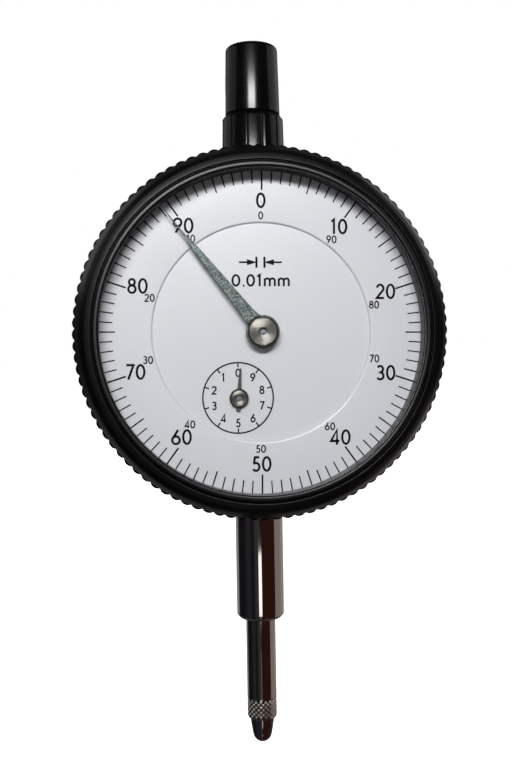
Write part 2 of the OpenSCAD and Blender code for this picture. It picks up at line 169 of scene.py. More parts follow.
# matt black rubber, and the deep red of a pivot stone
gasketRubber, tree, shader = newMaterial("mouldedNitrileRubber", "#1c1c1d", {"Roughness": 0.75})
ruby, tree, shader = newMaterial("syntheticRuby", "#8c1030", {"Roughness": 0.08, "IOR": 1.77})

# satin paint on a brass dial blank: even and pale, with a faint tooth
dialPaint, tree, shader = newMaterial(
    "satinWhiteDialPaint", "#d5d5da", {"Roughness": 0.34, "Specular IOR Level": 0.7}
)
addGrain(tree, shader, 6.0, 0.0015)

# pad printing ink: dead flat, so it stays black under the light
printInk, tree, shader = newMaterial(
    "blackPadPrintInk", "#060607", {"Roughness": 0.6, "Specular IOR Level": 0.12}
)

# grey-green lacquer with metal flake: speckled, with a soft glint
pointerPaint, tree, shader = newMaterial(
    "flakedGreyLacquer", "#6c7977", {"Metallic": 0.3, "Roughness": 0.42}
)
flake = addGrain(tree, shader, 4.2, 0.006)
addMottle(tree, shader, flake, "#232c2a", "#75847f", 0.4, 0.66)

# the small hand's plain lacquer, darker and without flake
smallPaint, tree, shader = newMaterial(
    "darkGreyLacquer", "#3d463f", {"Metallic": 0.2, "Roughness": 0.42}
)


# turned face: fine rings about a centre, which catch the light as two bright fans
def turnedSteel(name, base, centre, perMm, depth):
    material, tree, shader = newMaterial(name, base, {"Metallic": 1.0, "Roughness": 0.3})
    where = addNode(tree, "ShaderNodeTexCoord")
    shifted = addNode(
        tree,
        "ShaderNodeMapping",
        {"Location": [-c for c in centre]},
        {"Vector": where.outputs["Object"]},
    )
    # at scale 1 the wave node makes 20 rings to every 2 pi units
    waveScale = 2 * math.pi * perMm / mm / 20
    rings = addNode(
        tree,
        "ShaderNodeTexWave",
        {"wave_type": "RINGS", "rings_direction": "Y", "Scale": waveScale, "Distortion": 0.0},
        {"Vector": shifted.outputs[0]},
    )
    bump = addNode(
        tree,
        "ShaderNodeBump",
        {"Strength": 1.0, "Distance": depth * mm},
        {"Height": rings.outputs["Fac"]},
    )
    tree.links.new(bump.outputs[0], shader.inputs["Normal"])
    return material


hubSteel = turnedSteel("turnedHubSteel", "#6e6c67", (0, 0, height), 3.2, 0.02)
smallHubCentre = (-place["arborX"] * mm, 0, height - place["arborY"] * mm)
smallHubSteel = turnedSteel("turnedSmallHubSteel", "#6a6863", smallHubCentre, 3.6, 0.018)

# flat acrylic crystal: nearly unseen straight on, with a glint at the edge
crystalClear = bpy.data.materials.new("clearCastAcrylic")
crystalClear.use_nodes = True
tree = crystalClear.node_tree
tree.nodes.remove(tree.nodes["Principled BSDF"])
crystalLook = {"tint": (0.985, 0.99, 0.99, 1), "roughness": 0.03, "ior": 1.25}
clear = addNode(tree, "ShaderNodeBsdfTransparent", {"Color": crystalLook["tint"]})
glint = addNode(tree, "ShaderNodeBsdfAnisotropic", {"Roughness": crystalLook["roughness"]})
edge = addNode(tree, "ShaderNodeFresnel", {"IOR": crystalLook["ior"]})
mixed = addNode(
    tree,
    "ShaderNodeMixShader",
    None,
    {"Fac": edge.outputs[0], 1: clear.outputs[0], 2: glint.outputs[0]},
)
tree.links.new(mixed.outputs[0], tree.nodes["Material Output"].inputs["Surface"])
print("materials ready")

slotLooks = {
    "black_paint": caseBlack,
    "black_plastic": capBlack,
    "gasket_rubber": gasketRubber,
    "polished_steel": stemSteel,
    "ball_steel": stemSteel,
    "hub_steel": hubSteel,
    "screw_steel": screwSteel,
    "spring_steel": springSteel,
    "hand_grey": pointerPaint,
    "bush_brass": bushBrass,
    "plate_brass": plateBrass,
    "ruby": ruby,
    "dial_white": dialPaint,
    "clear_crystal": crystalClear,
}
for part in frame["record"]["subparts"]:
    node = frame["nodes"][part["node"]]
    for nodeSlot in node.material_slots:
        nodeSlot.material = slotLooks[part["material_slot"]]


# a corner takes at most this share of a side, and has a point to so many degrees
corner = {"share": 0.48, "stepDegrees": 12}


# rounds each corner of a polyline given as (x, y, radius)
def rounded(points, closed=True):
    result = []
    count = len(points)
    for i, point in enumerate(points):
        here = Vector(point[:2])
        radius = point[2] if len(point) > 2 else 0
        if radius == 0 or (not closed and i in (0, count - 1)):
            result.append(tuple(here))
            continue
        toLast = Vector(points[i - 1][:2]) - here
        toNext = Vector(points[(i + 1) % count][:2]) - here
        angle = toLast.angle(toNext)
        reach = min(radius / math.tan(angle / 2), corner["share"] * min(toLast.length, toNext.length))
        radius = reach * math.tan(angle / 2)
        inwards = (toLast.normalized() + toNext.normalized()).normalized()
        middle = here + inwards * radius / math.sin(angle / 2)
        first = here + toLast.normalized() * reach - middle
        last = here + toNext.normalized() * reach - middle
        sweep = first.angle_signed(last)
        steps = max(2, int(abs(math.degrees(sweep)) / corner["stepDegrees"]))
        for k in range(steps + 1):
            turned = first.copy()
            turned.rotate(Matrix.Rotation(-sweep * k / steps, 2))
            result.append(tuple(middle + turned))
    return result


def meshObject(name, vertices, faces, recalculate=True):
    mesh = bpy.data.meshes.new(name)
    mesh.from_pydata(vertices, [], faces)
    work = bmesh.new()
    work.from_mesh(mesh)
    bmesh.ops.remove_doubles(work, verts=work.verts, dist=1e-5)
    if recalculate:
        bmesh.ops.recalc_face_normals(work, faces=work.faces)
    work.to_mesh(mesh)
    work.free()
    piece = bpy.data.objects.new(name, mesh)
    bpy.context.scene.collection.objects.link(piece)
    return piece


# turns a profile of (radius, height) about z, or a sector of it
def lathe(name, profile, segments=160, closed=True, sector=2 * math.pi, start=0.0, limit=None):
    whole = sector > 6.28
    columns = segments if whole else segments + 1
    vertices = []
    for j in range(columns):
        angle = start + sector * j / segments
        for radius, level in profile:
            r = min(radius, limit(angle)) if limit else radius
            vertices.append((r * math.cos(angle), r * math.sin(angle), level))
    count = len(profile)
    faces = []
    for j in range(segments):
        for i in range(count if closed else count - 1):
            a, b = j % columns * count, (j + 1) % columns * count
            k = (i + 1) % count
            faces.append((a + i, b + i, b + k, a + k))
    return meshObject(name, vertices, faces, whole)


# one tree for all that repeats about z: count to a turn, in rows, each row turned by part of a step
def aroundTree():
    tree = bpy.data.node_groups.new("repeatAroundAxis", "GeometryNodeTree")
    face = tree.interface
    face.new_socket("Geometry", in_out="INPUT", socket_type="NodeSocketGeometry")
    face.new_socket("Count", in_out="INPUT", socket_type="NodeSocketInt")
    face.new_socket("Rows", in_out="INPUT", socket_type="NodeSocketInt")
    face.new_socket("Rise", in_out="INPUT", socket_type="NodeSocketFloat")
    face.new_socket("Stagger", in_out="INPUT", socket_type="NodeSocketFloat")
    face.new_socket("Material", in_out="INPUT", socket_type="NodeSocketMaterial")
    face.new_socket("Geometry", in_out="OUTPUT", socket_type="NodeSocketGeometry")
    given = addNode(tree, "NodeGroupInput").outputs

    def maths(operation, first, second):
        node = addNode(tree, "ShaderNodeMath", {"operation": operation})
        for i, value in enumerate((first, second)):
            if isinstance(value, (int, float)):
                node.inputs[i].default_value = value
            else:
                tree.links.new(value, node.inputs[i])
        return node.outputs[0]

    total = maths("MULTIPLY", given["Count"], given["Rows"])
    line = addNode(tree, "GeometryNodeMeshLine", {"Offset": (0, 0, 0)}, {"Count": total})
    index = addNode(tree, "GeometryNodeInputIndex").outputs[0]
    row = maths("FLOOR", maths("DIVIDE", maths("ADD", index, 0.5), given["Count"]), 0)
    shift = maths("MULTIPLY", maths("MODULO", row, 2), given["Stagger"])
    step = maths("DIVIDE", 2 * math.pi, given["Count"])
    angle = maths("MULTIPLY", maths("ADD", index, shift), step)
    turn = addNode(tree, "ShaderNodeCombineXYZ", None, {"Z": angle})
    rise = addNode(tree, "ShaderNodeCombineXYZ", None, {"Z": maths("MULTIPLY", row, given["Rise"])})
    spots = addNode(
        tree, "GeometryNodeSetPosition", None, {"Geometry": line.outputs[0], "Offset": rise.outputs[0]}
    )
    copies = addNode(
        tree,
        "GeometryNodeInstanceOnPoints",
        None,
        {"Points": spots.outputs[0], "Instance": given["Geometry"], "Rotation": turn.outputs[0]},
    )
    solid = addNode(tree, "GeometryNodeRealizeInstances", None, {"Geometry": copies.outputs[0]})
    joined = addNode(
        tree, "GeometryNodeMergeByDistance", {"Distance": 0.0004}, {"Geometry": solid.outputs[0]}
    )
    painted = addNode(
        tree,
        "GeometryNodeSetMaterial",
        None,
        {"Geometry": joined.outputs[0], "Material": given["Material"]},
    )
    addNode(tree, "NodeGroupOutput", None, {"Geometry": painted.outputs[0]})
    return tree


around = aroundTree()
sockets = {item.name: item.identifier for item in around.interface.items_tree if item.in_out == "INPUT"}


def repeatAround(piece, material, count, rows=1, rise=0.0, stagger=0.0):
    modifier = piece.modifiers.new("repeat", "NODES")
    modifier.node_group = around
    modifier[sockets["Count"]] = count
    modifier[sockets["Rows"]] = rows
    modifier[sockets["Rise"]] = rise
    modifier[sockets["Stagger"]] = stagger
    modifier[sockets["Material"]] = material
    return piece


# applies modifiers, moves the mesh to its place, and names its body, nodes and slot
def settle(piece, material, matrix, body, nodes=(), sharp=35, fix=False):
    if material and not piece.modifiers:
        piece.data.materials.append(material)
    bpy.context.view_layer.update()
    seen = piece.evaluated_get(bpy.context.evaluated_depsgraph_get())
    mesh = bpy.data.meshes.new_from_object(seen)
    name = piece.name
    old = piece.data
    bpy.data.objects.remove(piece)
    bpy.data.meshes.remove(old)
    mesh.transform(matrix)
    if fix:
        work = bmesh.new()
        work.from_mesh(mesh)
        bmesh.ops.recalc_face_normals(work, faces=work.faces)
        work.to_mesh(mesh)
        work.free()
    mesh.name = name
    mesh.shade_smooth()
    mesh.set_sharp_from_angle(angle=math.radians(sharp))
    final = bpy.data.objects.new(name, mesh)
    bpy.context.scene.collection.objects.link(final)
    if nodes:
        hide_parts(*nodes)
    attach(final, body)
    return final


def joinMeshes(name, pieces):
    vertices, faces = [], []
    for piece in pieces:
        base = len(vertices)
        vertices += [tuple(v.co) for v in piece.data.vertices]
        faces += [tuple(base + i for i in f.vertices) for f in piece.data.polygons]
        data = piece.data
        bpy.data.objects.remove(piece)
        bpy.data.meshes.remove(data)
    mesh = bpy.data.meshes.new(name)
    mesh.from_pydata(vertices, [], faces)
    piece = bpy.data.objects.new(name, mesh)
    bpy.context.scene.collection.objects.link(piece)
    return piece


# bezel: one serration's sector of the whole ring, repeated round the dial
bezel = {
    "serrations": 100,
    "perSerration": 8,
    "tipRadius": 29.5,
    "depth": 0.4,
    "rear": 5.8,
    "bore": 26.56,
    "lip": 25.1,
    "lipRear": 16.4,
    "lipFront": 17.3,
    "shoulder": 13.05,
}
bezelProfile = rounded(
    [
        (bezel["bore"], bezel["rear"], 0.1),
        (bezel["bore"], bezel["lipRear"]),
        # lip: crowned, so that its top shows one soft line of light
        (bezel["lip"], bezel["lipRear"], 0.05),
        (bezel["lip"], bezel["lipFront"] - 0.18, 0.1),
        (bezel["lip"] + 0.26, bezel["lipFront"], 0.5),
        (bezel["lip"] + 0.8, bezel["lipFront"] - 0.02, 0.5),
        # dark groove behind the lip, then the cone down to the serrations
        (26.12, 17.0, 0.06),
        (26.24, 16.4, 0.04),
        (26.44, 16.8, 0.1),
        (27.35, 16.56, 0.3),
        (28.1, 15.9, 1.0),
        (29.05, 13.9, 0.5),
        (29.1, 13.35, 0.12),
        (bezel["tipRadius"], bezel["shoulder"], 0.15),
        (bezel["tipRadius"], bezel["rear"] + 0.6, 0.2),
        (bezel["tipRadius"] - 0.5, bezel["rear"], 0.15),
    ]
)


# the outline's limit at an angle: rounded serrations with narrow valleys
def serrationLimit(angle):
    wave = abs(math.cos(angle * bezel["serrations"] / 2))
    return bezel["tipRadius"] - bezel["depth"] * (1 - wave**0.8)


sector = 2 * math.pi / bezel["serrations"]
ring = lathe(
    "bezelRing",
    bezelProfile,
    bezel["perSerration"],
    sector=sector,
    start=-sector / 2,
    limit=serrationLimit,
)
repeatAround(ring, bezelBlack, bezel["serrations"])
settle(ring, None, dialFrame, "bezel_unit", ["bezel"], sharp=50, fix=True)
wall = {"outer": 26.4, "inner": 25.35, "rear": 12.5, "front": 15.0, "segments": 240}
spacer = lathe(
    "openingWall",
    rounded(
        [
            (wall["outer"], wall["rear"]),
            (wall["outer"], wall["front"]),
            (wall["inner"], wall["front"], 0.1),
            (wall["inner"], wall["rear"], 0.03),
        ]
    ),
    wall["segments"],
)
settle(spacer, bezelBlack, dialFrame, "bezel_unit", ["spacer_ring"])
print("bezel ready")

# cap: a slightly flared tube closed at the top, over the bush and the spindle's end
capShape = {"top": 48.95, "low": 37.1, "topRadius": 4.38, "lowRadius": 4.65, "bushBore": 3.27, "bore": 2.9}
cap = lathe(
    "spindleCap",
    rounded(
        [
            (0, capShape["top"]),
            (3.2, capShape["top"] - 0.07, 1.0),
            (capShape["topRadius"], capShape["top"] - 0.25, 0.75),
            (capShape["lowRadius"], capShape["low"] + 0.3, 0.1),
            (capShape["lowRadius"] - 0.15, capShape["low"], 0.08),
            (capShape["bushBore"], capShape["low"]),
            (capShape["bushBore"], 40.6),
            (capShape["bore"], 40.7),
            (capShape["bore"], 47.7),
            (0, 47.7),
        ],
        closed=False,
    ),
    128,
    closed=False,
)
settle(cap, capBlack, spindleFrame, "cap_unit", ["spindle_cap"])

# collar: one flute's sector repeated; the flat takes this share of it, between two grooves
collar = {
    "flutes": 12,
    "lowRadius": 5.36,
    "topRadius": 5.2,
    "bore": 3.2,
    "low": 28.4,
    "top": 37.03,
    "groove": 0.16,
    "flat": 0.72,
}


def collarSector():
    half = math.pi / collar["flutes"]
    top, radius = collar["top"], collar["topRadius"]
    levels = [
        (collar["low"], collar["lowRadius"]),
        (top - 0.75, radius),
        (top - 0.6, radius - 0.04),
        (top - 0.1, radius - 0.42),
        (top, radius - 0.6),
    ]
    rightHalf = [0.2, 0.45, 0.66, collar["flat"], 0.8, 0.9, 1]
    shape = [-s for s in reversed(rightHalf)] + [0] + rightHalf
    vertices, faces = [], []
    for z, radius in levels:
        for s in shape:
            dip = max(0.0, (abs(s) - collar["flat"]) / (1 - collar["flat"]))
            r = radius - collar["groove"] * math.sin(dip * math.pi / 2)
            vertices.append((r * math.cos(s * half), r * math.sin(s * half), z))
    for z in (collar["top"], collar["low"]):
        for s in shape:
            vertices.append((collar["bore"] * math.cos(s * half), collar["bore"] * math.sin(s * half), z))
    rows, width = len(levels) + 2, len(shape)
    for row in range(rows):
        for i in range(width - 1):
            a, b = row * width + i, (row + 1) % rows * width + i
            faces.append((a, a + 1, b + 1, b))
    return meshObject("flutedCollar", vertices, faces, False)


fluted = repeatAround(collarSector(), capBlack, collar["flutes"])
settle(fluted, None, spindleFrame, "body", ["cap_collar"], sharp=20, fix=True)
print("cap and collar ready")

# clamping stem: extra rings near its ends keep the long side's shading straight
stem = {"radius": 4.0, "shoulder": 4.4, "bore": 3.1, "top": -23.2, "step": -28.4, "end": -47.9}
stemTube = lathe(
    "clampingStem",
    rounded(
        [
            (stem["shoulder"], stem["top"]),
            (stem["shoulder"], stem["step"]),
            (stem["radius"], stem["step"]),
            (stem["radius"], stem["step"] - 0.3),
            (stem["radius"], stem["end"] + 0.9),
            (stem["radius"], stem["end"] + 0.5, 0.2),
            (stem["radius"] - 0.45, stem["end"], 0.1),
            (stem["bore"], stem["end"], 0.1),
            (stem["bore"], stem["top"]),
        ]
    ),
    128,
)
settle(stemTube, stemSteel, spindleFrame, "body", ["stem"])

# contact point: knurled band, tapered nose and ball
contact = {
    "top": -61.5,
    "band": 3.4,
    "count": 18,
    "rows": 7,
    "body": 2.38,
    "tooth": 0.12,
    "flat": 0.25,
    "share": 0.86,
    "ballRadius": 1.6,
    "ballCentre": -67.6,
    "ballSteps": 16,
}
pointBody = lathe(
    "contactPointBody",
    rounded(
        [
            (0, contact["top"]),
            (2.3, contact["top"], 0.08),
            (2.42, contact["top"] - 0.15, 0.05),
            (2.42, contact["top"] - 3.3, 0.05),
            (2.3, contact["top"] - 3.45),
            (2.0, contact["top"] - 3.5, 0.05),
            (1.95, contact["top"] - 4.3, 0.2),
            (1.64, contact["top"] - 6.15, 0.08),
            (0, contact["top"] - 6.15),
        ],
        closed=False,
    ),
    96,
    closed=False,
)
pointBody.data.materials.append(stemSteel)


# one diamond tooth of the knurl, standing on the band, and the rise from row to row
def knurlTooth():
    wide = math.pi * contact["body"] / contact["count"] * contact["share"]
    rise = contact["band"] / (contact["rows"] + 1)
    z = contact["top"] - contact["band"] + rise
    vertices = []
    for radius, size in ((contact["body"] - 0.02, 1), (contact["body"] + contact["tooth"], contact["flat"])):
        vertices += [(radius, -wide * size, z), (radius, 0, z - rise * size)]
        vertices += [(radius, wide * size, z), (radius, 0, z + rise * size)]
    faces = [(0, 1, 5, 4), (1, 2, 6, 5), (2, 3, 7, 6), (3, 0, 4, 7), (4, 5, 6, 7), (3, 2, 1, 0)]
    return meshObject("contactKnurl", vertices, faces), rise


tooth, rise = knurlTooth()
repeatAround(tooth, knurlSteel, contact["count"], contact["rows"], rise, 0.5)
settle(tooth, None, spindleFrame, "spindle_unit", (), sharp=180)
settle(pointBody, None, spindleFrame, "spindle_unit", ["contact_point"])
ballAngles = [math.pi / 2 * k / contact["ballSteps"] for k in range(contact["ballSteps"] + 1)]
ballProfile = [
    (contact["ballRadius"] * math.sin(a), contact["ballCentre"] - contact["ballRadius"] * math.cos(a))
    for a in ballAngles
]
ball = lathe("contactBall", ballProfile + [(0, contact["ballCentre"])], 64, closed=False)
settle(ball, stemSteel, spindleFrame, "spindle_unit", ["contact_ball"])
print("stem and contact point ready")


# points along an arc, between two angles in degrees
def arc(cx, cy, rx, ry, first, last, steps=14):
    turn = [math.radians(first + (last - first) * k / steps) for k in range(steps + 1)]
    return [(cx + rx * math.cos(a), cy + ry * math.sin(a)) for a in turn]


# digits and letters: width and strokes, in a box one unit high; edge is half a stroke
edge = 0.055
glyphs = {
    "0": (0.6, [arc(0.3, 0.5, 0.245, 0.5 - edge, 0, 360, 28)]),
    "1": (0.36, [[(0.03, 0.82), (0.2, 1 - edge * 0.6), (0.2, 0)]]),
    "2": (0.56, [arc(0.28, 0.7, 0.215, 0.245, 170, -38) + [(0.05, edge), (0.54, edge)]]),
    "3": (0.54, [arc(0.25, 0.735, 0.19, 0.21, 150, -90) + arc(0.25, 0.285, 0.225, 0.235, 90, -150)[1:]]),
    "4": (0.62, [[(0.44, 0), (0.44, 0.97), (0.04, 0.25), (0.6, 0.25)]]),
    "5": (
        0.54,
        [[(0.47, 1 - edge), (0.18, 1 - edge), (0.12, 0.57)] + arc(0.25, 0.31, 0.225, 0.26, 118, -148)],
    ),
    "6": (0.6, [arc(0.3, 0.3, 0.245, 0.25, 0, 360, 28), [(0.44, 0.98), (0.11, 0.45)]]),
    "7": (0.54, [[(0.03, 1 - edge), (0.5, 1 - edge), (0.16, 0)]]),
    "8": (0.58, [arc(0.29, 0.745, 0.185, 0.2, 0, 360, 24), arc(0.29, 0.29, 0.235, 0.24, 0, 360, 28)]),
    "9": (0.6, [arc(0.3, 0.7, 0.245, 0.25, 0, 360, 28), [(0.16, 0.02), (0.49, 0.55)]]),
    ".": (0.16, [[(0.05, edge), (0.16, edge)]]),
    "m": (
        0.86,
        [
            [(0.06, 0), (0.06, 0.66)],
            arc(0.24, 0.46, 0.18, 0.2, 180, 0) + [(0.42, 0)],
            arc(0.6, 0.46, 0.18, 0.2, 180, 0) + [(0.78, 0)],
        ],
    ),
}


# strokes of a text about a centre; gap and stretch are shares of the size
def writeStrokes(text, centre, size, gap=0.1, stretch=1.0):
    width = sum(glyphs[c][0] for c in text) + gap * (len(text) - 1)
    strokes = []
    at = -width / 2
    for c in text:
        advance, lines = glyphs[c]
        for line in lines:
            strokes.append(
                [(centre[0] + (at + x) * size * stretch, centre[1] + (y - 0.5) * size) for x, y in line]
            )
        at += advance + gap
    return strokes


# a line outwards, at an angle clockwise from the top
def radial(angle, inner, outer):
    a = math.radians(angle)
    return [(inner * math.sin(a), inner * math.cos(a)), (outer * math.sin(a), outer * math.cos(a))]


# prints strokes of (points, width) as thin raised ink at a level; a width for each point makes a taper
def ink(name, strokes, level, thick=0.02):
    vertices, faces = [], []
    for points, width in strokes:
        line = [Vector(p) for p in points]
        widths = list(width) if isinstance(width, tuple) else [width] * len(line)
        closed = (line[0] - line[-1]).length < 1e-6
        if closed:
            line = line[:-1]
        count = len(line)
        base = len(vertices)
        for i, here in enumerate(line):
            before = line[i - 1] if closed or i else None
            after = line[(i + 1) % count] if closed or i < count - 1 else None
            d1 = (here - before).normalized() if before else (after - here).normalized()
            d2 = (after - here).normalized() if after else d1
            middle = d1 + d2
            middle = middle.normalized() if middle.length > 1e-6 else d1
            normal = Vector((-middle.y, middle.x))
            # a mitre at a sharp bend is cut short
            share = max(0.45, normal.dot(Vector((-d1.y, d1.x))))
            side = normal * widths[i] / 2 / share
            left, right = here + side, here - side
            vertices += [(left.x, left.y, level), (right.x, right.y, level)]
            vertices += [(right.x, right.y, level + thick), (left.x, left.y, level + thick)]
        for i in range(count if closed else count - 1):
            a, b = base + 4 * i, base + 4 * ((i + 1) % count)
            for k in range(4):
                m = (k + 1) % 4
                faces.append((a + k, a + m, b + m, b + k))
        if not closed:
            a = base + 4 * (count - 1)
            faces += [(base + 3, base + 2, base + 1, base), (a, a + 1, a + 2, a + 3)]
    return meshObject(name, vertices, faces)


# dial: the ring carries divisions and numbers and stands one step in front of the inner dial
dialLook = {
    "ringFace": 12.5,
    "ringInner": 17.48,
    "ringOuter": 26.4,
    "ringRear": 12.25,
    "innerFace": 12.08,
    "innerRear": 11.7,
    "innerRadius": 19.0,
    "arborHole": 1.4,
    "ringTurn": -0.8,
    "innerTurn": -0.6,
}
ringFrame = dialFrame @ Matrix.Rotation(math.radians(dialLook["ringTurn"]), 4, "Z")
innerFrame = dialFrame @ Matrix.Rotation(math.radians(dialLook["innerTurn"]), 4, "Z")

ringPlate = lathe(
    "dialRingPlate",
    rounded(
        [
            (dialLook["ringOuter"], dialLook["ringRear"]),
            (dialLook["ringOuter"], dialLook["ringFace"]),
            (dialLook["ringInner"], dialLook["ringFace"], 0.1),
            (dialLook["ringInner"] - 0.14, dialLook["ringFace"] - 0.04, 0.04),
            (dialLook["ringInner"] - 0.32, dialLook["innerFace"] + 0.01),
        ]
    ),
    300,
)
settle(ringPlate, dialPaint, dialFrame, "bezel_unit", ["dial_ring"])
facePlate = lathe(
    "innerDialPlate",
    [
        (dialLook["arborHole"], dialLook["innerRear"]),
        (dialLook["innerRadius"], dialLook["innerRear"]),
        (dialLook["innerRadius"], dialLook["innerFace"]),
        (dialLook["arborHole"], dialLook["innerFace"]),
    ],
    200,
)
settle(facePlate, dialPaint, dialFrame, "body", ["inner_dial"])

# a tenth of the divisions: the tens line, the fives line, and the eight short ones between
division = {
    "outer": 25.35,
    "tens": (22.35, 0.26),
    "fives": (22.9, 0.22),
    "short": (23.4, 0.2),
    "step": 3.6,
}
tickCell = []
for k in (0, 5, 1, 2, 3, 4, 6, 7, 8, 9):
    inner, width = division["short"] if k % 5 else division["fives"] if k else division["tens"]
    tickCell.append((radial(division["step"] * k, inner, division["outer"]), width))
ticks = ink("dialDivisions", tickCell, dialLook["ringFace"])
repeatAround(ticks, printInk, 10)
settle(ticks, None, ringFrame, "bezel_unit", ())

# both rows of numbers; angles in degrees clockwise, since the print sits a little off the even tenths
figures = {
    "gap": 0.12,
    "big": {"radius": 20.72, "size": 2.38, "width": 0.36},
    "bigAngles": [-0.4, 36.3, 71.8, 108.1, 143.3, 180.3, 217.7, 252.6, 290.3, 323.5],
    "small": {"radius": 18.35, "size": 1.2, "width": 0.21},
    "smallAngles": [-0.5, 37, 76.3, 103.2, 144.2, 180.7, 218.2, 256.3, 286.9, 322.7],
}


def figureStrokes(text, row, angle):
    a = math.radians(angle)
    spot = (row["radius"] * math.sin(a), row["radius"] * math.cos(a))
    return [(s, row["width"]) for s in writeStrokes(text, spot, row["size"], figures["gap"])]


numbers = []
for k in range(10):
    numbers += figureStrokes(str(10 * k), figures["big"], figures["bigAngles"][k])
    backwards = str(100 - 10 * k) if k else "0"
    numbers += figureStrokes(backwards, figures["small"], figures["smallAngles"][k])
numberPrint = ink("dialNumbers", numbers, dialLook["ringFace"])
settle(numberPrint, printInk, ringFrame, "bezel_unit", ())

# inner dial: division value, its arrow mark and the small dial
arrow = {
    "x": -0.15,
    "y": 11.03,
    "bar": 0.63,
    "barHeight": 1.74,
    "barWidth": 0.34,
    "tail": 3.4,
    "tailWidth": 0.28,
    "headWidths": (0.95, 0.14),
}
value = {"text": "0.01mm", "centre": (-0.1, 8.17), "size": 1.86, "gap": 0.15, "stretch": 1.18, "width": 0.33}
valueLines = writeStrokes(value["text"], value["centre"], value["size"], value["gap"], value["stretch"])
marks = [(s, value["width"]) for s in valueLines]
for side in (-1, 1):
    bar = arrow["x"] + side * arrow["bar"]
    low, high = arrow["y"] - arrow["barHeight"] / 2, arrow["y"] + arrow["barHeight"] / 2
    marks.append(([(bar, low), (bar, high)], arrow["barWidth"]))
    tail = arrow["x"] + side * arrow["tail"]
    marks.append(([(tail, arrow["y"]), (bar + side * 1.3, arrow["y"])], arrow["tailWidth"]))
    head = [(bar + side * 1.5, arrow["y"]), (bar + side * 0.12, arrow["y"])]
    marks.append((head, arrow["headWidths"]))

# small dial: it counts turns of the main hand, numbered backwards
small = {
    "x": -place["arborX"],
    "y": -place["arborY"],
    "radius": 5.55,
    "circleWidth": 0.23,
    "tick": 0.75,
    "tickWidth": 0.22,
    "numbers": 3.95,
    "size": 1.28,
    "width": 0.23,
}
smallCircle = arc(small["x"], small["y"], small["radius"], small["radius"], 0, 360, 90)
marks.append((smallCircle, small["circleWidth"]))
for k in range(10):
    line = radial(-36 * k, small["radius"] - small["tick"], small["radius"])
    marks.append(([(x + small["x"], y + small["y"]) for x, y in line], small["tickWidth"]))
    a = math.radians(-36 * k)
    spot = (small["x"] + small["numbers"] * math.sin(a), small["y"] + small["numbers"] * math.cos(a))
    marks += [(s, small["width"]) for s in writeStrokes(str(k), spot, small["size"])]
innerPrint = ink("innerDialPrint", marks, dialLook["innerFace"])
settle(innerPrint, printInk, innerFrame, "body", ())
print("dial printed")


# a flat hand of (distance, half width) sections with bevelled edges
def hand(name, sections, low, high, bevel):
    vertices, faces = [], []
    for y, half in sections:
        inner = max(half - bevel, half * 0.25)
        vertices += [(-half, y, low), (half, y, low), (half, y, high - bevel * 0.7), (inner, y, high)]
        vertices += [(-inner, y, high), (-half, y, high - bevel * 0.7)]
    for i in range(len(sections) - 1):
        for k in range(6):
            m = (k + 1) % 6
            faces.append((6 * i + k, 6 * i + m, 6 * i + 6 + m, 6 * i + 6 + k))
    last = 6 * (len(sections) - 1)
    faces += [tuple(range(6)), tuple(range(last + 5, last - 1, -1))]
    return meshObject(name, vertices, faces)


hands = {"mainAngle": 38.2, "rear": 13.9, "thick": 0.3, "bevel": 0.07, "bore": 0.52, "boss": 2.65}
bossFront = hands["rear"] + hands["thick"]
mainBlade = hand(
    "mainPointerBlade",
    [
        (2.0, 1.4),
        (2.6, 1.24),
        (3.4, 1.08),
        (5.0, 0.95),
        (10.0, 0.79),
        (14.0, 0.6),
        (16.7, 0.48),
        (17.3, 0.38),
        (18.9, 0.19),
        (24.1, 0.06),
    ],
    hands["rear"] + 0.1,
    bossFront,
    hands["bevel"],
)
mainBoss = lathe(
    "mainPointerBoss",
    rounded(
        [
            (hands["bore"], hands["rear"]),
            (hands["boss"], hands["rear"], 0.03),
            (hands["boss"], bossFront, 0.06),
            (hands["bore"], bossFront),
        ]
    ),
    96,
)
mainHand = joinMeshes("mainPointerBlade", [mainBlade, mainBoss])
turn = Matrix.Rotation(math.radians(hands["mainAngle"]), 4, "Z")
settle(mainHand, pointerPaint, dialFrame @ turn, "centre_arbor_unit", ["main_pointer"], sharp=15)

hub = {"rear": bossFront + 0.01, "radius": 2.4, "faceRadius": 2.15, "side": 0.48, "height": 0.64}
hubFront = hub["rear"] + hub["height"]
mainHub = lathe(
    "mainPointerHub",
    rounded(
        [
            (hands["bore"], hub["rear"]),
            (hub["radius"], hub["rear"], 0.04),
            (hub["radius"], hub["rear"] + hub["side"], 0.18),
            (hub["faceRadius"], hubFront, 0.1),
            (hands["bore"], hubFront, 0.1),
        ]
    ),
    96,
)
settle(mainHub, hubSteel, dialFrame, "centre_arbor_unit", ["pointer_hub"], sharp=25)

# small hand, with a short tail, and its hub
smallHands = {"angle": -4.0, "rear": 12.45, "front": 12.62, "bevel": 0.04, "bore": 0.51}
smallHand = hand(
    "smallPointerBlade",
    [(-2.05, 0.34), (0, 0.4), (4.5, 0.15), (4.7, 0.1)],
    smallHands["rear"],
    smallHands["front"],
    smallHands["bevel"],
)
smallPlace = dialFrame @ Matrix.Translation((small["x"], small["y"], 0))
turn = Matrix.Rotation(math.radians(smallHands["angle"]), 4, "Z")
settle(smallHand, smallPaint, smallPlace @ turn, "first_arbor_unit", ["small_pointer"], sharp=15)
smallHub = lathe(
    "smallPointerHub",
    rounded(
        [
            (smallHands["bore"], 12.64),
            (1.5, 12.64, 0.03),
            (1.5, 12.9, 0.08),
            (1.25, 13.08, 0.08),
            (smallHands["bore"], 13.08, 0.08),
        ]
    ),
    72,
)
settle(smallHub, smallHubSteel, smallPlace, "first_arbor_unit", ["small_hub"], sharp=25)
print("hands ready")

